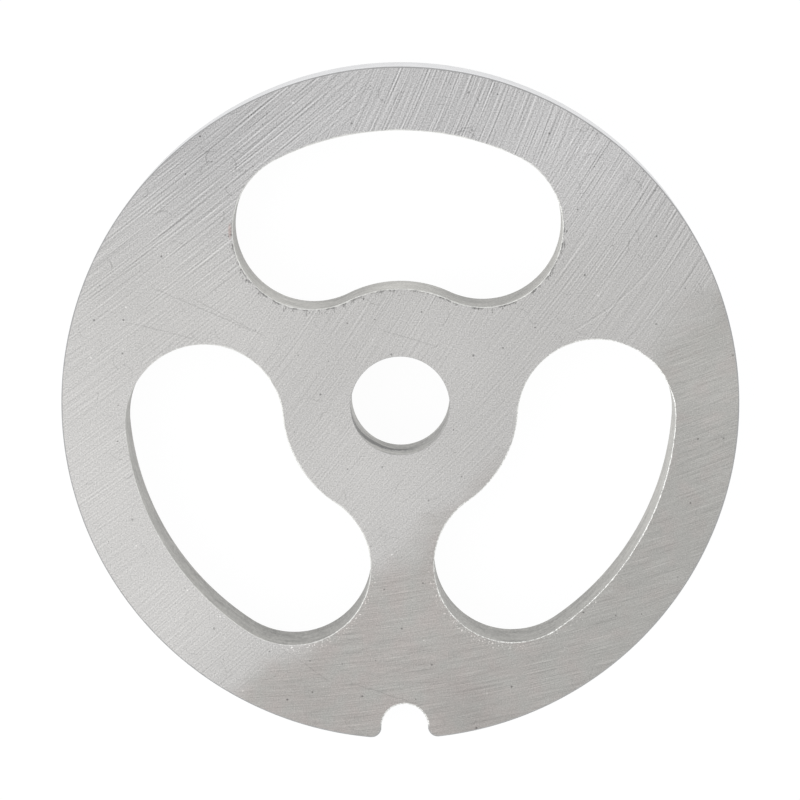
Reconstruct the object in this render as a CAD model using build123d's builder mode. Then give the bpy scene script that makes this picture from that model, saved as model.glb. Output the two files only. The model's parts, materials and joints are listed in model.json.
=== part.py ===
"""Kidney plate of a meat grinder: one flat steel disc with a pin bore, three wide
kidney slots on one ring and a round-ended locating notch in its rim.

Millimetres, +Z up. The plate lies flat, as it comes to rest: its back ground face is on
Z = 0 and its front ground face looks up. The origin is the centre of the bore on the back
face. One slot lies on +Y, and the notch opens towards -Y.
"""
from build123d import *
import math
import os

# ---- Driving dimensions ----------------------------------------------------------------

plate_diameter = 82.0       # outside of the rim: the common 82 mm plate
plate_thickness = 9.0       # between the two ground faces
rim_break = 0.15            # the turned rim's edges are just broken; the slots' cut sharp

bore_diameter = 12.0        # the worm's pin turns in it

slot_count = 3              # equal kidney slots, evenly spaced
slot_first_angle = 90.0     # direction of the first slot's middle, degrees from +X
slot_ring_radius = 23.8     # from the plate's centre to the slots' centre line
slot_width = 19.1           # across a slot, between its inner and outer arcs
slot_sweep = 51.4           # degrees between the centres of a slot's two round ends

notch_angle = 270.0         # direction of the notch, opposite the first slot
notch_width = 5.7           # between the notch's straight sides
notch_depth = 4.3           # from the rim to the notch's round end
notch_mouth_radius = 1.2    # rounding of the two corners where the notch meets the rim

# ---- Sizes that follow from them -------------------------------------------------------

plate_radius = plate_diameter / 2
notch_end_radius = notch_width / 2
notch_end_centre = plate_radius - notch_depth + notch_end_radius

# ---- The plate -------------------------------------------------------------------------

with BuildPart() as kidney_plate:
    with BuildSketch(Plane.XY) as face_outline:
        Circle(plate_radius)

        # The notch is a round end and a straight-sided run out through the rim.
        with PolarLocations(notch_end_centre, 1, start_angle=notch_angle):
            Circle(notch_end_radius, mode=Mode.SUBTRACT)
            Rectangle(
                notch_depth,
                notch_width,
                align=(Align.MIN, Align.CENTER),
                mode=Mode.SUBTRACT,
            )
        # In by the mouth radius and out again rounds the outward corners alone.
        offset(amount=-notch_mouth_radius)
        offset(amount=notch_mouth_radius)
    extrude(amount=plate_thickness)

    # Break the whole outer edge, notch included, on both faces.
    flat_faces = kidney_plate.faces().filter_by(GeomType.PLANE).filter_by(Axis.Z)
    chamfer(flat_faces.edges(), rim_break)

    # The bore and the slots go right through, and their edges stay sharp.
    with BuildSketch(Plane.XY) as openings:
        Circle(bore_diameter / 2)
        with BuildLine(mode=Mode.PRIVATE) as slot_middle:
            CenterArc((0, 0), slot_ring_radius, -slot_sweep / 2, slot_sweep)
        with PolarLocations(0, slot_count, start_angle=slot_first_angle):
            SlotArc(slot_middle.edge(), slot_width)
    extrude(amount=plate_thickness, mode=Mode.SUBTRACT)

kidney_plate.part.label = "kidney_plate"

# ---- Checks on the proportions, then the file ------------------------------------------

slot_outer_radius = slot_ring_radius + slot_width / 2
slot_inner_radius = slot_ring_radius - slot_width / 2
between_end_centres = 360 / slot_count - slot_sweep
web = 2 * slot_ring_radius * math.sin(math.radians(between_end_centres / 2)) - slot_width
print(f"rim land {plate_radius - slot_outer_radius:.2f} mm")
print(f"hub wall {slot_inner_radius - bore_diameter / 2:.2f} mm")
print(f"web between slots {web:.2f} mm")

os.makedirs("parts", exist_ok=True)
export_step(kidney_plate.part, "parts/kidney_plate.step")
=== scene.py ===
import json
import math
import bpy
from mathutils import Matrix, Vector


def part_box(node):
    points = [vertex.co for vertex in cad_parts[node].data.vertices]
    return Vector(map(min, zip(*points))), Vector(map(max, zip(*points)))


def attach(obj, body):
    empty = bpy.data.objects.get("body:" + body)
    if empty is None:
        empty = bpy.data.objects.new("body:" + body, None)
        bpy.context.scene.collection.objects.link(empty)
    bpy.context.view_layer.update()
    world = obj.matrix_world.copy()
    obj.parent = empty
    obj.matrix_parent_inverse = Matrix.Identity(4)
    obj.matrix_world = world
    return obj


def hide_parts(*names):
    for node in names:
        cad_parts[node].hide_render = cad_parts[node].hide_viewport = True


bl_info = {
    "name": "Kidney plate",
    "version": (1, 0, 0),
    "blender": (4, 5, 0),
    "location": "3D View > Sidebar > Kidney plate",
    "description": "Builds a three-slot kidney plate in ground steel, and the studio it lies in",
    "category": "Object",
}

import bmesh
import bpy
from bpy.props import FloatProperty, FloatVectorProperty, PointerProperty
from mathutils import Matrix, Vector, noise
from mathutils.geometry import delaunay_2d_cdt

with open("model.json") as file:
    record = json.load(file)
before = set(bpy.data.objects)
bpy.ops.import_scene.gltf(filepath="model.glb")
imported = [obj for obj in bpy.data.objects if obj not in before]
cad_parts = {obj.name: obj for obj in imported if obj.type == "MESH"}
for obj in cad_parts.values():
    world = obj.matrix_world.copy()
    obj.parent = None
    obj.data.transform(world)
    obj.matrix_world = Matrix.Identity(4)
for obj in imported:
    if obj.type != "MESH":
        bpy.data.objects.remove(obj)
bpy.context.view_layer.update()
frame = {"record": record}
PLATE_NODE = "kidney_plate"
MM = 0.001


def mount(name):
    """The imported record's mount of that name."""
    for entry in frame["record"]["mounts"]:
        if entry["name"] == name:
            return entry
    raise RuntimeError("the packed record has no mount named " + name)


RIM_RADIUS = mount("rim")["dims"]["r_mm"] * MM
BORE_RADIUS = mount("bore")["dims"]["r_mm"] * MM
PLATE_LOW, PLATE_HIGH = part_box(PLATE_NODE)
NOTCH_END = abs(mount("notch")["pos_m"][1])


# ---------------------------------------------------------------- what a user may change


class PlateSizes(bpy.types.PropertyGroup):
    """Sizes of the plate."""

    outside_diameter: FloatProperty(
        name="Outside diameter",
        description="Across the turned rim",
        default=2 * RIM_RADIUS,
        min=0.03,
        unit="LENGTH",
    )
    thickness: FloatProperty(
        name="Thickness",
        description="From the back face to the front face",
        default=PLATE_HIGH.z - PLATE_LOW.z,
        min=0.002,
        unit="LENGTH",
    )
    bore_diameter: FloatProperty(
        name="Bore diameter",
        description="Across the centre hole",
        default=2 * BORE_RADIUS,
        min=0.002,
        unit="LENGTH",
    )
    slot_ring_radius: FloatProperty(
        name="Slot ring radius",
        description="Radius of the arc along the middle of each kidney slot",
        default=23.8 * MM,
        unit="LENGTH",
    )
    slot_width: FloatProperty(
        name="Slot width",
        description="Width of each kidney slot, and the diameter of its round ends",
        default=19.1 * MM,
        unit="LENGTH",
    )
    slot_sweep: FloatProperty(
        name="Slot sweep",
        description="Angle between the centres of a slot's two round ends",
        default=math.radians(51.4),
        subtype="ANGLE",
        unit="ROTATION",
    )
    notch_width: FloatProperty(
        name="Notch width",
        description="Width of the locating notch in the rim",
        default=5.7 * MM,
        unit="LENGTH",
    )
    notch_mouth: FloatProperty(
        name="Notch mouth rounding",
        description="Radius of the two corners where the notch meets the rim",
        default=1.2 * MM,
        unit="LENGTH",
    )
    rim_break: FloatProperty(
        name="Rim edge break",
        description="Width of the small bevel round the rim",
        default=0.15 * MM,
        unit="LENGTH",
    )
    hole_break: FloatProperty(
        name="Hole edge break",
        description="Width of the crushed edge round the slots and the bore",
        default=0.11 * MM,
        unit="LENGTH",
    )
    point_spacing: FloatProperty(
        name="Point spacing",
        description="Distance between neighbouring points along an outline",
        default=0.3 * MM,
        min=0.1 * MM,
        unit="LENGTH",
    )


class SteelFinish(bpy.types.PropertyGroup):
    """Colours and roughness of the steel."""

    face_colour: FloatVectorProperty(
        name="Ground face",
        description="Colour of the ground faces",
        default=(0.540, 0.533, 0.524),
        size=3,
        min=0.0,
        max=1.0,
        subtype="COLOR",
    )
    cool_colour: FloatVectorProperty(
        name="Cool steel",
        description="Colour of the ground faces towards the top slot",
        default=(0.537, 0.533, 0.534),
        size=3,
        min=0.0,
        max=1.0,
        subtype="COLOR",
    )
    # Darker than the ground face, partly as painted shade over the lower pass.
    warm_colour_and_shade: FloatVectorProperty(
        name="Warm patches",
        description="Colour of the slightly brown part of the ground faces",
        default=(0.448, 0.422, 0.406),
        size=3,
        min=0.0,
        max=1.0,
        subtype="COLOR",
    )
    rust_colour: FloatVectorProperty(
        name="Rust",
        description="Colour of the speck of rust beside the top slot",
        default=(0.50, 0.33, 0.30),
        size=3,
        min=0.0,
        max=1.0,
        subtype="COLOR",
    )
    # Darker than the ground face, partly as painted shade over the lower pass.
    green_colour_and_shade: FloatVectorProperty(
        name="Greenish steel",
        description="Colour of the patches between the warm ones",
        default=(0.433, 0.428, 0.411),
        size=3,
        min=0.0,
        max=1.0,
        subtype="COLOR",
    )
    # Darker than the faces, partly as painted shade inside the slots and the bore.
    wall_colour_and_shade: FloatVectorProperty(
        name="Slot walls",
        description="Colour of the milled walls of the slots",
        default=(0.427, 0.421, 0.399),
        size=3,
        min=0.0,
        max=1.0,
        subtype="COLOR",
    )
    # Lighter than the faces, partly as a painted highlight along the hole edges.
    edge_colour_and_highlight: FloatVectorProperty(
        name="Hole edges",
        description="Colour of the crushed edges round the slots and the bore",
        default=(0.78, 0.78, 0.76),
        size=3,
        min=0.0,
        max=1.0,
        subtype="COLOR",
    )
    bevel_colour: FloatVectorProperty(
        name="Rim bevel",
        description="Colour of the small bevel round the rim",
        default=(0.50, 0.50, 0.503),
        size=3,
        min=0.0,
        max=1.0,
        subtype="COLOR",
    )
    rim_colour: FloatVectorProperty(
        name="Turned rim",
        description="Colour of the turned rim",
        default=(0.55, 0.553, 0.572),
        size=3,
        min=0.0,
        max=1.0,
        subtype="COLOR",
    )
    face_roughness: FloatProperty(
        name="Face roughness",
        description="Roughness of the ground faces",
        default=0.34,
        min=0.05,
        max=1.0,
        subtype="FACTOR",
    )
    wall_roughness: FloatProperty(
        name="Wall roughness",
        description="Roughness of the milled slot walls",
        default=0.5,
        min=0.05,
        max=1.0,
        subtype="FACTOR",
    )
    rim_roughness: FloatProperty(
        name="Rim roughness",
        description="Roughness of the turned rim",
        default=0.2,
        min=0.05,
        max=1.0,
        subtype="FACTOR",
    )
    line_depth: FloatProperty(
        name="Grinding line depth",
        description="Depth of the grinding lines in the face",
        default=0.005 * MM,
        min=0.0,
        precision=6,
        unit="LENGTH",
    )


class StudioSettings(bpy.types.PropertyGroup):
    """Floor, light and camera."""

    floor_colour: FloatVectorProperty(
        name="Floor",
        description="Colour of the floor",
        default=(0.62, 0.625, 0.64),
        size=3,
        min=0.0,
        max=1.0,
        subtype="COLOR",
    )
    sky_strength: FloatProperty(
        name="Sky strength",
        description="Strength of the white room round the plate",
        default=0.9,
        min=0.0,
    )
    lamp_power: FloatProperty(
        name="Side lamp power",
        description="Power of the soft lamp on the left",
        default=1.2,
        min=0.0,
        unit="POWER",
    )
    camera_distance: FloatProperty(
        name="Camera distance",
        description="Distance of the camera from the middle of the front face",
        default=568.2 * MM,
        unit="LENGTH",
    )
    camera_lens: FloatProperty(
        name="Camera lens",
        description="Focal length of the camera",
        default=211.44,
        unit="CAMERA",
    )


# ---------------------------------------------------------------- outlines of the plate


def arc(centre, radius, start, end, spacing, into):
    """Points along an arc, each with the direction that leads into the steel."""
    count = max(2, math.ceil(abs(end - start) * radius / spacing))
    made = []
    for i in range(count):
        angle = start + (end - start) * i / count
        out = Vector((math.cos(angle), math.sin(angle)))
        made.append((Vector(centre) + out * radius, out * into))
    return made


def slot_outline(sizes, turn):
    """One kidney slot, its middle at the angle given."""
    ring = sizes.slot_ring_radius
    half_width = sizes.slot_width / 2
    half_sweep = sizes.slot_sweep / 2
    step = sizes.point_spacing
    first, last = turn - half_sweep, turn + half_sweep
    near = (ring * math.cos(first), ring * math.sin(first))
    far = (ring * math.cos(last), ring * math.sin(last))
    made = arc((0, 0), ring + half_width, first, last, step, 1)
    made += arc(far, half_width, last, last + math.pi, step, 1)
    made += arc((0, 0), ring - half_width, last, first, step, -1)
    made += arc(near, half_width, first + math.pi, first + 2 * math.pi, step, 1)
    return made


def bore_outline(sizes):
    """The centre hole."""
    return arc((0, 0), sizes.bore_diameter / 2, 0, 2 * math.pi, sizes.point_spacing, 1)


def rim_outline(sizes):
    """The rim, with the round-ended notch at the bottom and its rounded mouth."""
    radius = sizes.outside_diameter / 2
    half_width = sizes.notch_width / 2
    mouth = sizes.notch_mouth
    step = sizes.point_spacing
    side = half_width + mouth
    drop = -math.sqrt((radius - mouth) ** 2 - side**2)
    lean = math.atan2(drop, side)
    made = arc((0, 0), radius, lean, math.pi - lean, step, -1)
    made += arc((-side, drop), mouth, math.pi - lean, 2 * math.pi, step / 2, -1)
    made += arc((0, -NOTCH_END), half_width, math.pi, 0, step, 1)
    made += [(Vector((half_width, -NOTCH_END)), Vector((1, 0)))]
    made += arc((side, drop), mouth, math.pi, 2 * math.pi + lean, step / 2, -1)
    return made


# ---------------------------------------------------------------- mesh of the plate

FACE, EDGE, WALL, RIM, BORE = range(5)
WALL_RINGS = 6
NEAR_RING = 0.12 * MM       # from an edge to the first ring of points on the face
FAR_RING = 0.5 * MM         # from an edge to the second ring
FRAYED_DEPTH = 0.2 * MM     # a ring of points is frayed where it is less far in than this
FILL_PITCH = 1.1 * MM       # between the points inside a face
ROW_RATIO = 0.866           # between two rows of those points, as a share of the pitch


def edge_profile(depth, drop, height):
    """(Distance into the steel, height) of each ring, from the back face round to the front."""
    rings = [(depth + FAR_RING, 0.0), (depth + NEAR_RING, 0.0), (depth, 0.0), (0.0, drop)]
    for i in range(1, WALL_RINGS):
        rings.append((0.0, drop + (height - 2 * drop) * i / WALL_RINGS))
    rings += [(0.0, height - drop), (depth, height)]
    rings += [(depth + NEAR_RING, height), (depth + FAR_RING, height)]
    return rings


def ragged(point, amount, seed):
    """A factor round 1 that wanders along an edge, for nicks and small burrs."""
    place = Vector((point.x, point.y, 0.0)) / MM
    slow = noise.noise(place * 0.35 + Vector((seed, 0, 0)))
    fast = noise.noise(place * 2.3 + Vector((0, seed, 0)))
    return max(0.25, 1 + amount * (0.7 * slow + 0.9 * fast))


def add_wall(bm, outline, profile, kind, amount, seed):
    """Joins the rings of one outline with quads and returns its back and front rings."""
    rings = []
    for depth, height in profile:
        ring = []
        frayed = 0 < depth < FRAYED_DEPTH
        for point, inward in outline:
            here = point + inward * depth * (ragged(point, amount, seed) if frayed else 1)
            ring.append(bm.verts.new((here.x, here.y, height)))
        rings.append(ring)
    count = len(outline)
    for i in range(len(rings) - 1):
        depths = (profile[i][0], profile[i + 1][0])
        part = FACE
        if min(depths) == 0.0:
            part = kind if max(depths) == 0.0 else EDGE
        for j in range(count):
            k = (j + 1) % count
            quad = bm.faces.new((rings[i][j], rings[i][k], rings[i + 1][k], rings[i + 1][j]))
            quad.material_index = part
            quad.smooth = True
    for edge in [edge for edge in bm.edges if len(edge.link_faces) == 2]:
        first, second = edge.link_faces
        edge.smooth = first.material_index == second.material_index
    return rings[0], rings[-1]


def fill_face(bm, loops, height, sizes):
    """Fills the flat face inside the first loop and outside the others with even triangles."""
    flat = []
    kept = []
    outlines = []
    for loop in loops:
        outlines.append(list(range(len(flat), len(flat) + len(loop))))
        flat += [Vector((vert.co.x, vert.co.y)) for vert in loop]
        kept += loop
    reach = int(sizes.outside_diameter / FILL_PITCH)
    for row in range(-reach, reach + 1):
        for column in range(-reach, reach + 1):
            shift = 0.5 * (row % 2)
            spot = Vector(((column + shift) * FILL_PITCH, row * FILL_PITCH * ROW_RATIO))
            if steel_depth(spot, sizes) > FILL_PITCH:
                flat.append(spot)
    points, _, triangles, sources, _, owners = delaunay_2d_cdt(flat, [], outlines, 1, 1e-9)
    verts = []
    for point, source in zip(points, sources):
        known = source and source[0] < len(kept)
        verts.append(kept[source[0]] if known else bm.verts.new((point.x, point.y, height)))
    for triangle, owner in zip(triangles, owners):
        if list(owner) == [0]:
            made = bm.faces.new([verts[i] for i in triangle])
            made.material_index = FACE
            made.smooth = True


def steel_depth(point, sizes):
    """Distance from a point on the face to the nearest edge, negative where there is no steel."""
    reach = point.length
    depth = min(sizes.outside_diameter / 2 - reach, reach - sizes.bore_diameter / 2)
    bottom = Vector((0, -NOTCH_END))
    notch = (point - bottom).length if point.y > bottom.y else abs(point.x)
    depth = min(depth, notch - sizes.notch_width / 2)
    third = 2 * math.pi / 3
    angle = math.atan2(point.y, point.x) - math.pi / 2
    angle = abs((angle + third / 2) % third - third / 2)
    ring = sizes.slot_ring_radius
    half_sweep = sizes.slot_sweep / 2
    if angle < half_sweep:
        slot = abs(reach - ring)
    else:
        end = Vector((ring * math.cos(half_sweep), ring * math.sin(half_sweep)))
        slot = (Vector((reach * math.cos(angle), reach * math.sin(angle))) - end).length
    return min(depth, slot - sizes.slot_width / 2)


def plate_mesh(sizes):
    """The whole plate as one closed mesh."""
    bm = bmesh.new()
    rim = edge_profile(sizes.rim_break, sizes.rim_break, sizes.thickness)
    hole = edge_profile(sizes.hole_break, 0.4 * sizes.hole_break, sizes.thickness)
    bore = edge_profile(0.3 * sizes.hole_break, 0.2 * sizes.hole_break, sizes.thickness)
    ends = [add_wall(bm, rim_outline(sizes), rim, RIM, 0.35, 1.0)]
    ends.append(add_wall(bm, bore_outline(sizes), bore, BORE, 0.5, 2.0))
    for i in range(3):
        turn = math.pi / 2 + i * 2 * math.pi / 3
        ends.append(add_wall(bm, slot_outline(sizes, turn), hole, WALL, 0.8, 3.0 + i))
    fill_face(bm, [back for back, front in ends], 0.0, sizes)
    fill_face(bm, [front for back, front in ends], sizes.thickness, sizes)
    bmesh.ops.recalc_face_normals(bm, faces=bm.faces)
    mesh = bpy.data.meshes.new("Kidney_plate_steel")
    bm.to_mesh(mesh)
    bm.free()
    return mesh


# ---------------------------------------------------------------- shader nodes


class Graph:
    """Adds nodes to one tree and joins them."""

    def __init__(self, tree):
        self.tree = tree

    def node(self, kind, **settings):
        """A node with these settings."""
        made = self.tree.nodes.new(kind)
        for name, value in settings.items():
            setattr(made, name, value)
        return made

    def feed(self, socket, value):
        """Links a socket, or sets its plain value."""
        if isinstance(value, bpy.types.NodeSocket):
            self.tree.links.new(value, socket)
        else:
            socket.default_value = value

    def math(self, operation, a, b=0.0, c=0.0):
        """One sum on up to three values."""
        made = self.node("ShaderNodeMath", operation=operation)
        for socket, value in zip(made.inputs, (a, b, c)):
            self.feed(socket, value)
        return made.outputs[0]

    def plus(self, a, b):
        """The sum of two values."""
        return self.math("ADD", a, b)

    def minus(self, a, b):
        """The first value less the second."""
        return self.math("SUBTRACT", a, b)

    def times(self, a, b):
        """The product of two values."""
        return self.math("MULTIPLY", a, b)

    def reach(self, across, up):
        """Length of the line from the origin to a point on the flat."""
        return self.math("SQRT", self.plus(self.times(across, across), self.times(up, up)))

    def ramp(self, value, low, high):
        """0 below low and 1 above high, smooth between; falls where low is above high."""
        made = self.node("ShaderNodeMapRange", interpolation_type="SMOOTHSTEP")
        turned = low > high
        self.feed(made.inputs["Value"], value)
        self.feed(made.inputs["From Min"], min(low, high))
        self.feed(made.inputs["From Max"], max(low, high))
        self.feed(made.inputs["To Min"], 1.0 if turned else 0.0)
        self.feed(made.inputs["To Max"], 0.0 if turned else 1.0)
        return made.outputs["Result"]

    def join(self, x, y, z):
        """A vector from three values."""
        made = self.node("ShaderNodeCombineXYZ")
        for socket, value in zip(made.inputs, (x, y, z)):
            self.feed(socket, value)
        return made.outputs[0]

    def noise(self, vector, detail=2.0, roughness=0.5):
        """Soft noise round 0, one feature a unit."""
        made = self.node("ShaderNodeTexNoise", noise_dimensions="3D")
        self.feed(made.inputs["Vector"], vector)
        self.feed(made.inputs["Scale"], 1.0)
        self.feed(made.inputs["Detail"], detail)
        self.feed(made.inputs["Roughness"], roughness)
        return self.minus(made.outputs["Fac"], 0.5)

    def blend(self, factor, a, b):
        """Colour a where the factor is 0 and b where it is 1."""
        made = self.node("ShaderNodeMix", data_type="RGBA")
        self.feed(made.inputs[0], factor)
        for socket, value in ((made.inputs[6], a), (made.inputs[7], b)):
            self.feed(socket, value if isinstance(value, bpy.types.NodeSocket) else (*value, 1.0))
        return made.outputs[2]

    def tinted(self, colour, factor):
        """A colour made lighter or darker by a factor."""
        made = self.node("ShaderNodeVectorMath", operation="SCALE")
        self.feed(made.inputs[0], colour if isinstance(colour, bpy.types.NodeSocket) else tuple(colour))
        self.feed(made.inputs["Scale"], factor)
        return made.outputs[0]

    def place(self):
        """The point on the plate, in millimetres, as three values."""
        where = self.node("ShaderNodeTexCoord").outputs["Object"]
        scaled = self.node("ShaderNodeVectorMath", operation="SCALE")
        self.feed(scaled.inputs[0], where)
        self.feed(scaled.inputs["Scale"], 1000.0)
        return self.apart(scaled.outputs[0])

    def apart(self, vector):
        """The three values of a vector."""
        made = self.node("ShaderNodeSeparateXYZ")
        self.feed(made.inputs[0], vector)
        return made.outputs[0], made.outputs[1], made.outputs[2]

    def bump(self, shader, height, depth):
        """Raises and sinks a shader's surface by this depth for each unit of height."""
        made = self.node("ShaderNodeBump")
        self.feed(made.inputs["Strength"], 1.0)
        self.feed(made.inputs["Distance"], depth)
        self.feed(made.inputs["Height"], height)
        self.feed(shader.inputs["Normal"], made.outputs[0])

    def total(self, values):
        """The sum of several values."""
        result = values[0]
        for value in values[1:]:
            result = self.plus(result, value)
        return result


def steel(name, roughness):
    """A bare metal material, with its graph and its shader node."""
    made = bpy.data.materials.new(name)
    made.use_nodes = True
    tree = made.node_tree
    tree.nodes.clear()
    graph = Graph(tree)
    shader = graph.node("ShaderNodeBsdfPrincipled")
    shader.inputs["Metallic"].default_value = 1.0
    shader.inputs["Roughness"].default_value = roughness
    output = graph.node("ShaderNodeOutputMaterial")
    graph.feed(output.inputs["Surface"], shader.outputs[0])
    return made, graph, shader


# ---------------------------------------------------------------- ground faces


# Grinding passes: the angle of the lines through the plate's centre in degrees, and the
# radius of their arcs in millimetres.
LEFT_PASS = (38.0, 600.0)
TOP_PASS = (54.0, 150.0)
RIGHT_PASS = (43.0, 150.0)
LOWER_PASS = (9.0, 190.0)
LINE_WIDTH = 0.38
LINE_LENGTH = 20.0
LINE_STEP = 0.17        # from a line to the one beside it


def lay(g, x, y, grinding_pass):
    """Along and across the lines of one pass, in millimetres; the lines steepen as they run on."""
    angle, radius = grinding_pass
    cosine = math.cos(math.radians(angle))
    sine = math.sin(math.radians(angle))
    along = g.plus(g.times(x, cosine), g.times(y, sine))
    across = g.minus(g.times(y, cosine), g.times(x, sine))
    bow = g.times(g.times(along, along), 0.5 / radius)
    return along, g.minus(across, bow)


def streaks(g, across, along, width, length, seed, detail=1.0):
    """Streaks of about this width and length in millimetres, round 0."""
    place = g.join(g.times(across, 1.8 / width), g.times(along, 1.8 / length), seed)
    return g.noise(place, detail, 0.6)


def wandering(g, x, y, size, seed):
    """A soft value round 0 that changes over this many millimetres."""
    place = g.join(g.times(x, 1.8 / size), g.times(y, 1.8 / size), seed)
    return g.noise(place)


def lower_share(g, x, y):
    """1 where the flatter lines lie, at the bottom and the right side, and 0 elsewhere."""
    fall = g.minus(y, g.times(x, 0.82))
    edge = g.plus(fall, g.times(wandering(g, x, y, 14.0, 3.0), 9.0))
    return g.ramp(edge, -15.0, -22.0)


def upper_shares(g, x, y):
    """How much of each of the left, top and right passes shows above the lower one."""
    drift = g.times(wandering(g, x, y, 7.0, 27.0), 8.0)
    place = g.total([x, g.times(y, -0.5), drift])
    left = g.ramp(place, -18.0, -30.0)
    right = g.ramp(place, 0.0, 10.0)
    top = g.minus(1.0, g.plus(left, right))
    return left, top, right


def pass_lines(g, x, y, grinding_pass, seed):
    """Long lines of one pass, round 0: each streak less the one beside it, so none is broad."""
    along, across = lay(g, x, y, grinding_pass)
    here = streaks(g, across, along, LINE_WIDTH, LINE_LENGTH, seed)
    beside = streaks(g, g.plus(across, LINE_STEP), along, LINE_WIDTH, LINE_LENGTH, seed)
    line = g.minus(here, g.times(beside, 0.8))
    return g.plus(g.times(line, 0.60), g.times(line, g.math("ABSOLUTE", line)))


def line_strength(g, x, y):
    """How deep the lines are: strongest along the top of the plate and faint in its lower half."""
    lift = g.plus(y, g.times(wandering(g, x, y, 9.0, 21.0), 9.0))
    top = g.ramp(lift, 6.0, 34.0)
    return g.plus(0.32, g.times(top, 0.76))


def hole_distance(g, x, y, sizes):
    """Distance from the nearest slot or the bore, in millimetres."""
    reach = g.reach(x, y)
    third = 2 * math.pi / 3
    angle = g.minus(g.math("ARCTAN2", y, x), math.pi / 2)
    angle = g.math("ABSOLUTE", g.math("WRAP", angle, third / 2, -third / 2))
    ring = sizes.slot_ring_radius / MM
    half_sweep = sizes.slot_sweep / 2
    beyond = g.math("MAXIMUM", g.minus(angle, half_sweep), 0.0)
    forward = g.minus(g.times(reach, g.math("COSINE", beyond)), ring)
    sideways = g.times(reach, g.math("SINE", beyond))
    slot = g.reach(forward, sideways)
    slot = g.minus(slot, sizes.slot_width / 2 / MM)
    bore = g.minus(reach, sizes.bore_diameter / 2 / MM)
    return g.math("MINIMUM", slot, bore)


def ragged_dark_lines(g, x, y, distance):
    """Short dark lines with ticks beside the lower half of the top slot: 1 on them, 0 elsewhere."""
    tick = g.math("MAXIMUM", streaks(g, x, y, 0.30, 1.6, 31.0), 0.04)
    frayed = g.minus(distance, g.times(g.minus(tick, 0.04), 4.5))
    line = g.ramp(frayed, 0.34, 0.22)
    parts = g.ramp(wandering(g, x, y, 1.6, 33.0), -0.06, 0.06)
    height = g.times(g.ramp(y, 8.4, 9.0), g.ramp(y, 24.0, 21.0))
    return g.times(g.times(line, parts), height)


def specks(g, x, y, distance):
    """Small bright chips beside the two lower slots, fewer at their outer sides."""
    aside = g.math("ABSOLUTE", x)
    outer = g.ramp(aside, 13.0, 16.0)
    luck = g.minus(wandering(g, x, y, 0.42, 35.0), g.times(outer, 0.04))
    near = g.times(g.ramp(distance, 0.05, 0.2), g.ramp(distance, 1.3, 0.5))
    place = g.times(g.ramp(y, -16.0, -24.0), g.ramp(aside, 27.0, 23.0))
    return g.times(g.times(g.ramp(luck, 0.09, 0.15), near), place)


def stain(g, x, y):
    """A speck of rust at the left end of the top slot: 1 on it and 0 elsewhere."""
    across = g.times(g.plus(x, 20.2), 3.6)
    up = g.times(g.minus(y, 21.5), 0.8)
    reach = g.reach(across, up)
    return g.ramp(reach, 1.0, 0.4)


def scattered(g, x, y, pitch, seed):
    """One random place to a cell: offset from it, in millimetres, and three random values."""
    cell = g.node("ShaderNodeTexVoronoi", voronoi_dimensions="2D", feature="F1")
    cell.inputs["Scale"].default_value = 1.0
    column = g.plus(g.times(x, 1 / pitch), seed)
    row = g.plus(g.times(y, 1 / pitch), seed)
    place = g.join(column, row, 0.0)
    g.feed(cell.inputs["Vector"], place)
    offset = g.node("ShaderNodeVectorMath", operation="SUBTRACT")
    g.feed(offset.inputs[0], place)
    g.feed(offset.inputs[1], cell.outputs["Position"])
    away = g.apart(offset.outputs[0])
    luck = g.apart(cell.outputs["Color"])
    return g.times(away[0], pitch), g.times(away[1], pitch), luck


def pits(g, x, y, pitch, size, share, seed):
    """Small round pits: 1 in a pit and 0 beside it."""
    across, up, luck = scattered(g, x, y, pitch, seed)
    reach = g.reach(across, up)
    wide = g.times(g.plus(0.5, luck[0]), size)
    pit = g.ramp(g.math("DIVIDE", reach, wide), 1.0, 0.5)
    return g.times(pit, g.math("LESS_THAN", luck[1], share))


def crescents(g, x, y, pitch, share, seed):
    """Small curved scratches, one to a cell at most: 1 on a scratch and 0 beside it."""
    across, up, luck = scattered(g, x, y, pitch, seed)
    radius = g.plus(0.5, g.times(luck[0], 1.3))
    turn = g.times(luck[1], 2 * math.pi)
    cosine = g.math("COSINE", turn)
    sine = g.math("SINE", turn)
    across = g.minus(across, g.times(radius, cosine))
    up = g.minus(up, g.times(radius, sine))
    reach = g.reach(across, up)
    line = g.ramp(g.math("ABSOLUTE", g.minus(reach, radius)), 0.095, 0.035)
    facing = g.plus(g.times(across, cosine), g.times(up, sine))
    facing = g.math("DIVIDE", facing, g.times(reach, -1.0))
    mark = g.times(line, g.ramp(facing, 0.45, 0.75))
    return g.times(mark, g.math("LESS_THAN", luck[2], share))


def scratch(g, x, y, wobble, start, end, width):
    """One long scratch between two points in millimetres: 1 on it and 0 beside it."""
    way = Vector(end) - Vector(start)
    length = way.length
    way.normalize()
    across = g.minus(x, start[0])
    up = g.minus(y, start[1])
    along = g.plus(g.times(across, way.x), g.times(up, way.y))
    aside = g.minus(g.times(up, way.x), g.times(across, way.y))
    aside = g.math("ABSOLUTE", g.plus(aside, wobble))
    span = g.times(g.ramp(along, 0.0, 1.5), g.ramp(along, length, length - 2.5))
    return g.times(g.ramp(aside, width, 0.3 * width), span)


def swirl(g, x, y, centre, radius, start, end, width):
    """One long scratch that follows an arc, between two angles in degrees."""
    across = g.minus(x, centre[0])
    up = g.minus(y, centre[1])
    reach = g.reach(across, up)
    turn = g.times(g.math("ARCTAN2", up, across), 180 / math.pi)
    span = g.times(g.ramp(turn, start, start + 6.0), g.ramp(turn, end, end - 6.0))
    aside = g.math("ABSOLUTE", g.minus(reach, radius))
    return g.times(g.ramp(aside, width, 0.3 * width), span)


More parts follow.
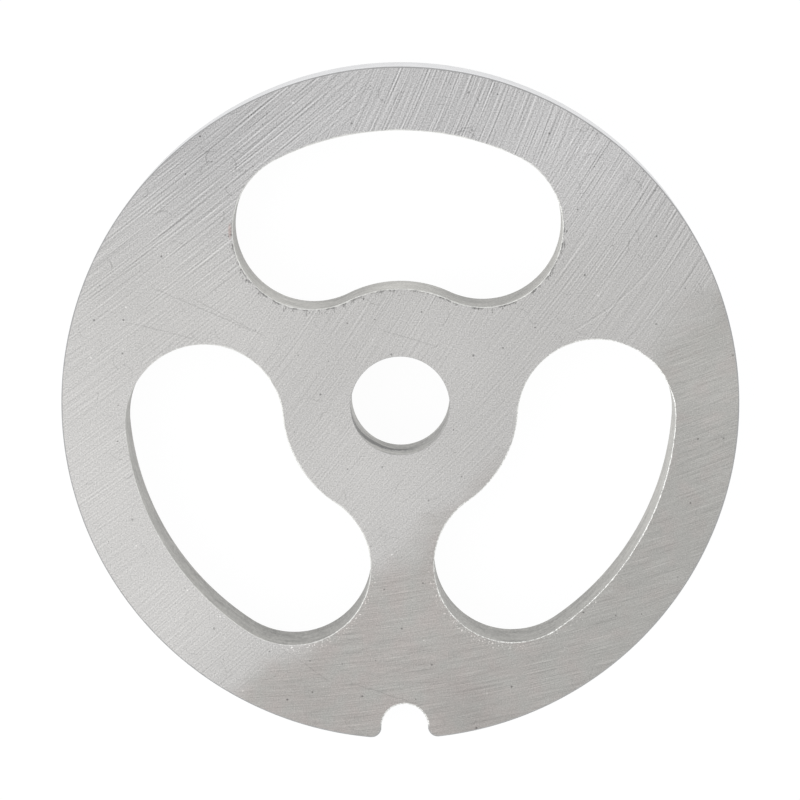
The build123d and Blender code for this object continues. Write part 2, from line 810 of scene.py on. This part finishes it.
# Long single scratches across the grinding lines, from point to point in millimetres.
LONG_SCRATCHES = (
    ((-30.2, 15.0), (-16.9, 9.0)),
    ((-33.4, 10.8), (-23.0, 8.0)),
    ((-25.3, 13.6), (-15.0, 8.0)),
    ((-14.0, -30.2), (-8.2, -34.4)),
    ((-6.5, -34.0), (3.0, -37.2)),
    ((-3.0, 9.5), (5.5, 6.9)),
)
SWIRL_CENTRE = (7.4, 36.0)      # of the arcs that the long curved scratches follow

# Painted light and shade, partly duller and brighter steel: place and size in millimetres, and how much
# lighter each is.
FACE_PAINTED_LIGHT_AND_TONE = (
    ((-26.0, 32.0), 16.0, -0.11),
    ((-17.0, 38.0), 11.0, -0.05),
    ((-35.0, 18.0), 9.0, -0.05),
    ((-34.0, -11.0), 24.0, 0.07),
    ((-27.0, -26.0), 13.0, 0.08),
    ((-4.0, -9.5), 16.0, 0.08),
    ((5.0, 6.0), 11.0, 0.05),
    ((21.0, 30.0), 16.0, 0.09),
    ((38.0, 3.0), 12.0, 0.12),
    ((38.0, -9.0), 9.0, 0.04),
    ((-19.0, 9.0), 12.0, 0.05),
    ((1.5, -26.0), 7.0, 0.06),
    ((-11.0, -37.0), 10.0, -0.04),
    ((8.0, -38.0), 9.0, -0.07),
)
# Painted light and shade on the slot walls: place and size in millimetres, and how much lighter each
# is.
WALL_PAINTED_LIGHT = (
    ((-14.0, 12.0), 10.0, 0.26),
    ((0.0, 14.0), 8.0, 0.40),
    ((20.0, 19.0), 9.0, 0.30),
    ((33.0, -4.0), 30.0, 0.38),
    ((-12.0, -30.0), 14.0, -0.11),
)


def patches(g, x, y, places):
    """How much lighter the listed spots make the steel at a point: painted light and shade, on the
    faces partly the steel's own tone.
    """
    shades = []
    for place, size, shade in places:
        across = g.minus(x, place[0])
        up = g.minus(y, place[1])
        reach = g.reach(across, up)
        shades.append(g.times(g.ramp(reach, size, 0.0), shade))
    return g.total(shades)


def ground_lines(g, x, y, share, strength):
    """The lines of all four passes, round 0: three above, and the lower one where its share is 1."""
    upper = []
    passes = (LEFT_PASS, TOP_PASS, RIGHT_PASS)
    for i, shown in enumerate(upper_shares(g, x, y)):
        upper.append(g.times(pass_lines(g, x, y, passes[i], 1.0 + 10 * i), shown))
    upper = g.times(g.total(upper), strength)
    along, across = lay(g, x, y, LOWER_PASS)
    comes = g.plus(0.8, g.times(wandering(g, x, y, 4.0, 97.0), 2.6))
    flat = g.times(streaks(g, across, along, 0.24, 8.0, 9.0), 0.40)
    flat = g.times(flat, g.times(share, comes))
    single = streaks(g, across, along, 0.20, 14.0, 11.0, 0.0)
    single = g.times(g.times(single, g.math("ABSOLUTE", single)), share)
    return g.total([upper, flat, g.times(single, 1.1)])


def face_marks(g, x, y, sizes, strength):
    """How much darker and how much lighter the curls, scratches, pits and chips make the face."""
    distance = hole_distance(g, x, y, sizes)
    wobble = g.times(wandering(g, x, y, 2.0, 50.0), 0.5)
    bent_x = g.plus(x, wobble)
    bent_y = g.minus(y, wobble)
    curls = g.times(crescents(g, bent_x, bent_y, 3.1, 0.5, 50.0), 0.20)
    curls = g.plus(curls, g.times(crescents(g, bent_x, bent_y, 4.3, 0.6, 61.0), 0.16))
    curls = g.times(curls, g.plus(0.45, g.times(strength, 0.75)))
    curls = g.times(curls, g.ramp(wandering(g, x, y, 11.0, 57.0), -0.06, 0.08))
    dark = [curls, g.times(ragged_dark_lines(g, x, y, distance), 0.46)]
    dark.append(g.times(pits(g, x, y, 4.6, 0.13, 0.5, 71.0), 0.45))
    for start, end in LONG_SCRATCHES:
        dark.append(g.times(scratch(g, x, y, wobble, start, end, 0.10), 0.14))
    dark.append(g.times(swirl(g, x, y, SWIRL_CENTRE, 30.2, -66.0, -25.0, 0.10), 0.14))
    dark.append(g.times(swirl(g, x, y, SWIRL_CENTRE, 34.5, -58.0, -30.0, 0.09), 0.10))
    bright = [g.times(swirl(g, x, y, SWIRL_CENTRE, 30.45, -66.0, -25.0, 0.10), 0.16)]
    bright.append(g.times(specks(g, x, y, distance), 0.7))
    bright.append(g.times(pits(g, x, y, 6.1, 0.12, 0.4, 83.0), 0.35))
    return g.total(dark), g.total(bright)


def face_colour(g, x, y, finish, share):
    """Grey steel, cooler towards the top slot, and mottled warm and greenish in the lower pass, which
    is also darker as painted shade.
    """
    mottle = g.plus(g.times(wandering(g, x, y, 5.0, 95.0), 3.0), 0.4)
    mottle = g.plus(mottle, g.times(g.ramp(x, 6.0, 26.0), 0.5))
    warm = g.blend(mottle, finish.warm_colour_and_shade, finish.green_colour_and_shade)
    cold = g.blend(g.ramp(y, 12.0, 34.0), finish.face_colour, finish.cool_colour)
    # The lower pass takes the warm and greenish colours, darker than the grey partly as painted shade.
    colour = g.blend(share, cold, warm)
    return g.blend(g.times(stain(g, x, y), 0.4), colour, finish.rust_colour)


def ground_face(sizes, finish):
    """Surface-ground steel: fine lines in four passes, grain, marks, and lighter or darker areas,
    partly painted light and shade.
    """
    made, g, shader = steel("Ground_steel_face", finish.face_roughness)
    x, y, _ = g.place()
    share = lower_share(g, x, y)
    strength = g.times(line_strength(g, x, y), g.minus(1.0, share))
    lines = ground_lines(g, x, y, share, strength)
    dark, bright = face_marks(g, x, y, sizes, strength)
    cloud = g.times(wandering(g, x, y, 1.0, 99.0), share)
    broad = g.times(wandering(g, x, y, 6.0, 13.0), 0.5)
    grain = g.noise(g.join(g.times(x, 6.3), g.times(y, 6.3), 40.0), 1.0, 0.6)
    grain = g.times(grain, g.total([0.78, g.times(strength, 0.40), g.times(share, -0.08)]))
    tone = [1.0, g.times(lines, 1.3), g.times(broad, 0.05), grain, g.times(cloud, 0.14)]
    # Painted light and shade, partly duller and brighter steel, from the listed spots.
    shade = g.times(g.total(tone), g.plus(1.0, patches(g, x, y, FACE_PAINTED_LIGHT_AND_TONE)))
    shade = g.math("MAXIMUM", g.plus(g.minus(shade, dark), bright), 0.1)
    colour = face_colour(g, x, y, finish, share)
    g.feed(shader.inputs["Base Color"], g.tinted(colour, shade))
    height = g.total([lines, g.times(grain, 0.5), g.times(dark, -1.5)])
    g.bump(shader, height, finish.line_depth)
    rough = g.plus(finish.face_roughness, g.times(broad, 0.12))
    g.feed(shader.inputs["Roughness"], rough)
    return made


def wall_shade(g, x, y, z, line_scale):
    """Cutter marks that run round a hole, level with the faces, and soft patches; both round 0."""
    place = g.join(g.times(x, 0.3), g.times(y, 0.3), g.times(z, line_scale))
    cloud = g.join(g.times(x, 3.0), g.times(y, 3.0), g.times(z, 1.6))
    return g.noise(place, 3.0, 0.7), g.noise(cloud, 2.0, 0.7)


def milled_slots(finish):
    """Steel with cutter marks, for the slots: a little darker towards the back as painted shade, and
    with spots of painted light.
    """
    made, g, shader = steel("Milled_slot_wall", finish.wall_roughness)
    x, y, z = g.place()
    streak, patch = wall_shade(g, x, y, z, 0.7)
    # Painted shade: the walls darker towards the back face, deep in the holes.
    back = g.times(g.ramp(z, 9.0, 1.0), -0.16)
    shade = g.total([0.97, back, g.times(streak, 0.9), g.times(patch, 0.9)])
    # Painted light and shade on the slot walls, from the listed spots.
    shade = g.plus(shade, patches(g, x, y, WALL_PAINTED_LIGHT))
    g.feed(shader.inputs["Base Color"], g.tinted(finish.wall_colour_and_shade, shade))
    g.bump(shader, streak, 0.01 * MM)
    return made


def turned_rim(finish):
    """The rim: fine rings from the lathe tool, soft clouds, and painted light that makes it brighter
    next to the front face.
    """
    made, g, shader = steel("Turned_rim", finish.rim_roughness)
    x, y, z = g.place()
    ring = g.join(g.times(x, 0.10), g.times(y, 0.10), g.times(z, 4.5))
    ring = g.noise(ring, 3.0, 0.65)
    cloud = g.join(g.times(x, 0.4), g.times(y, 0.4), g.times(z, 0.5))
    cloud = g.noise(cloud)
    # Painted light: the rim brighter next to the front face.
    front = g.times(g.ramp(z, 5.5, 8.3), 0.08)
    shade = g.total([0.98, front, g.times(ring, 0.34), g.times(cloud, 0.12)])
    g.feed(shader.inputs["Base Color"], g.tinted(finish.rim_colour, shade))
    g.feed(shader.inputs["Roughness"], g.total([finish.rim_roughness, g.times(cloud, 0.16)]))
    g.bump(shader, ring, 0.004 * MM)
    return made


BORE_ROUGHNESS = 0.42
EDGE_ROUGHNESS = 0.65


def bored_steel(finish, sizes):
    """The bore's wall: rings from the boring tool, dark grooves that wind down from the front, and
    painted light near the front and on the left.
    """
    made, g, shader = steel("Bored_hole", BORE_ROUGHNESS)
    x, y, z = g.place()
    streak, patch = wall_shade(g, x, y, z, 0.8)
    turn = g.times(g.math("ARCTAN2", y, x), 180 / math.pi)
    thickness = sizes.thickness / MM
    sink = g.math("MAXIMUM", g.times(g.plus(turn, 170.0), -0.085), -4.3)
    lower = g.total([z, -thickness, g.times(patch, 1.8), g.times(streak, 1.2)])
    groove = g.math("ABSOLUTE", g.minus(lower, sink))
    groove = g.times(groove, g.plus(1.0, g.ramp(turn, -130.0, -95.0)))
    second = g.math("ABSOLUTE", g.minus(g.plus(lower, 2.8), sink))
    fades = g.ramp(turn, -64.0, -92.0)
    dark = g.times(g.times(g.ramp(groove, 2.0, 1.1), fades), 0.78)
    dark = g.plus(dark, g.times(g.times(g.ramp(second, 1.2, 0.4), fades), 0.20))
    # Painted light: the wall brighter near the front face and on the left side of the bore.
    front = g.times(g.ramp(lower, -3.0, -1.2), 0.16)
    left = g.times(g.ramp(x, 2.0, -3.0), 0.14)
    shade = g.total([0.70, left, front, g.times(streak, 1.6), g.times(patch, 0.9)])
    shade = g.times(shade, g.minus(1.0, dark))
    g.feed(shader.inputs["Base Color"], g.tinted(finish.wall_colour_and_shade, shade))
    g.bump(shader, g.minus(streak, dark), 0.02 * MM)
    return made


def burnished_and_highlit_edge(finish):
    """The crushed edge of the holes, lighter than the faces partly as a painted highlight, more broken
    and with painted light on the right, and the duller bevel of the rim.
    """
    made, g, shader = steel("Burnished_and_highlit_edge", EDGE_ROUGHNESS)
    x, y, _ = g.place()
    reach = g.reach(x, y)
    hole = g.times(g.ramp(reach, 40.0, 39.0), g.ramp(reach, 7.0, 8.0))
    right = g.ramp(g.minus(x, g.times(y, 0.6)), 4.0, 26.0)
    # The hole edges take the edge colour, lighter than the faces partly as a painted highlight.
    colour = g.blend(hole, finish.bevel_colour, finish.edge_colour_and_highlight)
    broken = g.times(wandering(g, x, y, 0.45, 91.0), g.plus(0.6, g.times(right, 1.6)))
    # Painted light: the hole edges lighter towards the right.
    shade = g.total([1.0, g.times(broken, hole), g.times(g.times(right, hole), 0.12)])
    g.feed(shader.inputs["Base Color"], g.tinted(colour, shade))
    return made


# ---------------------------------------------------------------- studio

FLOOR_RADIUS = 3.0
FLOOR_GLOW = 1.065          # how bright the floor is where it is seen
GLOW_SHARE = 0.9            # the rest is paint, which takes the shadow
HORIZON = 0.45              # brightness of the room at floor level, as a share
SOFTBOX_PLACE = (-0.45, -0.1, 0.55)
SOFTBOX_SIZE = (0.4, 0.6)

# The camera's turn in degrees, and how far to the right of its axis and above it the middle of
# the front face lies, in millimetres.
CAMERA_PITCH = 7.551
CAMERA_YAW = -0.416
CAMERA_ROLL = 0.800
PLATE_ASIDE = 0.019
PLATE_ABOVE = -0.707


def white_floor(studio):
    """A floor that looks white, and keeps a faint shadow under and inside the plate."""
    made = bpy.data.materials.new("White_floor")
    made.use_nodes = True
    made.node_tree.nodes.clear()
    g = Graph(made.node_tree)
    rays = g.node("ShaderNodeLightPath")
    kinds = ("Is Camera Ray", "Is Glossy Ray", "Is Transmission Ray")
    seen = g.math("MINIMUM", g.total([rays.outputs[kind] for kind in kinds]), 1.0)
    paint = g.node("ShaderNodeBsdfDiffuse")
    paint.inputs["Color"].default_value = (*studio.floor_colour, 1.0)
    glow = g.node("ShaderNodeEmission")
    glow.inputs["Strength"].default_value = FLOOR_GLOW
    mixed = g.node("ShaderNodeMixShader")
    g.feed(mixed.inputs[0], g.times(seen, GLOW_SHARE))
    g.feed(mixed.inputs[1], paint.outputs[0])
    g.feed(mixed.inputs[2], glow.outputs[0])
    output = g.node("ShaderNodeOutputMaterial")
    g.feed(output.inputs["Surface"], mixed.outputs[0])
    return made


def make_floor(studio):
    """A wide round floor at the height of the plate's back face."""
    bm = bmesh.new()
    bmesh.ops.create_circle(bm, cap_ends=True, segments=96, radius=FLOOR_RADIUS)
    mesh = bpy.data.meshes.new("Studio_floor")
    bm.to_mesh(mesh)
    bm.free()
    floor = bpy.data.objects.new("Studio_floor", mesh)
    floor.data.materials.append(white_floor(studio))
    bpy.context.scene.collection.objects.link(floor)


def make_sky(studio):
    """A white room, dimmer towards the horizon, which the camera itself sees as plain white."""
    world = bpy.data.worlds.new("White_room")
    world.use_nodes = True
    world.node_tree.nodes.clear()
    g = Graph(world.node_tree)
    way = g.node("ShaderNodeTexCoord").outputs["Generated"]
    _, _, up = g.apart(way)
    rise = g.plus(HORIZON, g.times(g.ramp(up, 0.0, 0.45), 1 - HORIZON))
    rays = g.node("ShaderNodeLightPath")
    room = g.node("ShaderNodeBackground")
    g.feed(room.inputs["Color"], (1.0, 1.0, 1.0, 1.0))
    g.feed(room.inputs["Strength"], g.times(rise, studio.sky_strength))
    white = g.node("ShaderNodeBackground")
    g.feed(white.inputs["Color"], (1.0, 1.0, 1.0, 1.0))
    g.feed(white.inputs["Strength"], 1.0)
    mixed = g.node("ShaderNodeMixShader")
    g.feed(mixed.inputs[0], rays.outputs["Is Camera Ray"])
    g.feed(mixed.inputs[1], room.outputs[0])
    g.feed(mixed.inputs[2], white.outputs[0])
    output = g.node("ShaderNodeOutputWorld")
    g.feed(output.inputs["Surface"], mixed.outputs[0])
    bpy.context.scene.world = world


def make_softbox(studio):
    """A soft oblong lamp on the left that looks at the middle of the back face."""
    lamp = bpy.data.lights.new("Left_softbox", "AREA")
    lamp.shape = "RECTANGLE"
    lamp.size, lamp.size_y = SOFTBOX_SIZE
    lamp.energy = studio.lamp_power
    made = bpy.data.objects.new("Left_softbox", lamp)
    made.location = SOFTBOX_PLACE
    made.rotation_mode = "QUATERNION"
    made.rotation_quaternion = (-Vector(SOFTBOX_PLACE)).to_track_quat("-Z", "Y")
    bpy.context.scene.collection.objects.link(made)


def make_camera(studio, sizes):
    """The camera above the plate, a little to the top slot's side, so that the rim shows there."""
    pitch = Matrix.Rotation(math.radians(CAMERA_PITCH), 3, "X")
    yaw = Matrix.Rotation(math.radians(CAMERA_YAW), 3, "Y")
    roll = Matrix.Rotation(math.radians(CAMERA_ROLL), 3, "Z")
    turn = pitch @ yaw @ roll
    shift = Vector((PLATE_ASIDE * MM, PLATE_ABOVE * MM, -studio.camera_distance))
    camera = bpy.data.cameras.new("Studio_camera")
    camera.lens = studio.camera_lens
    camera.sensor_width = 36.0
    camera.clip_start = 0.01
    made = bpy.data.objects.new("Studio_camera", camera)
    bpy.context.scene.collection.objects.link(made)
    place = -(turn.transposed() @ shift) + Vector((0, 0, sizes.thickness))
    made.matrix_world = Matrix.Translation(place) @ turn.transposed().to_4x4()
    bpy.context.scene.camera = made


# ---------------------------------------------------------------- operators and panel


class PLATE_OT_kidney_plate(bpy.types.Operator):
    """Builds the steel plate and gives it its ground, milled and turned finishes"""

    bl_idname = "plate.kidney_plate"
    bl_label = "Kidney plate"
    bl_options = {"REGISTER", "UNDO"}

    def execute(self, context):
        sizes = context.scene.plate_sizes
        finish = context.scene.plate_finish
        mesh = plate_mesh(sizes)
        mesh.materials.append(ground_face(sizes, finish))
        mesh.materials.append(burnished_and_highlit_edge(finish))
        mesh.materials.append(milled_slots(finish))
        mesh.materials.append(turned_rim(finish))
        mesh.materials.append(bored_steel(finish, sizes))
        plate = bpy.data.objects.new("Kidney_plate_steel", mesh)
        context.scene.collection.objects.link(plate)
        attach(plate, "root")
        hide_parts(PLATE_NODE)
        return {"FINISHED"}


class PLATE_OT_studio(bpy.types.Operator):
    """Lays the white floor and sets the light and the camera"""

    bl_idname = "plate.studio"
    bl_label = "Studio"
    bl_options = {"REGISTER", "UNDO"}

    def execute(self, context):
        studio = context.scene.plate_studio
        sizes = context.scene.plate_sizes
        make_floor(studio)
        make_sky(studio)
        make_softbox(studio)
        make_camera(studio, sizes)
        context.scene.view_settings.view_transform = "Standard"
        return {"FINISHED"}


class PLATE_PT_panel(bpy.types.Panel):
    """Lists the plate's sizes, finishes and operators"""

    bl_idname = "PLATE_PT_panel"
    bl_label = "Kidney plate"
    bl_space_type = "VIEW_3D"
    bl_region_type = "UI"
    bl_category = "Kidney plate"

    def draw(self, context):
        layout = self.layout
        for operator in OPERATORS:
            layout.operator(operator.bl_idname)
        for group_name, group in GROUPS:
            box = layout.box()
            settings = getattr(context.scene, group_name)
            for setting in group.__annotations__:
                box.prop(settings, setting)


OPERATORS = (PLATE_OT_kidney_plate, PLATE_OT_studio)
GROUPS = (
    ("plate_sizes", PlateSizes),
    ("plate_finish", SteelFinish),
    ("plate_studio", StudioSettings),
)


def register():
    """Makes the settings, operators and panel known to Blender."""
    for name, group in GROUPS:
        bpy.utils.register_class(group)
        setattr(bpy.types.Scene, name, PointerProperty(type=group))
    for operator in OPERATORS:
        bpy.utils.register_class(operator)
    bpy.utils.register_class(PLATE_PT_panel)


def unregister():
    """Takes the panel, operators and settings out again."""
    bpy.utils.unregister_class(PLATE_PT_panel)
    for operator in reversed(OPERATORS):
        bpy.utils.unregister_class(operator)
    for name, group in reversed(GROUPS):
        delattr(bpy.types.Scene, name)
        bpy.utils.unregister_class(group)


def main():
    """Builds the plate and its studio."""
    register()
    bpy.ops.plate.kidney_plate()
    bpy.ops.plate.studio()


if __name__ == "__main__":
    main()
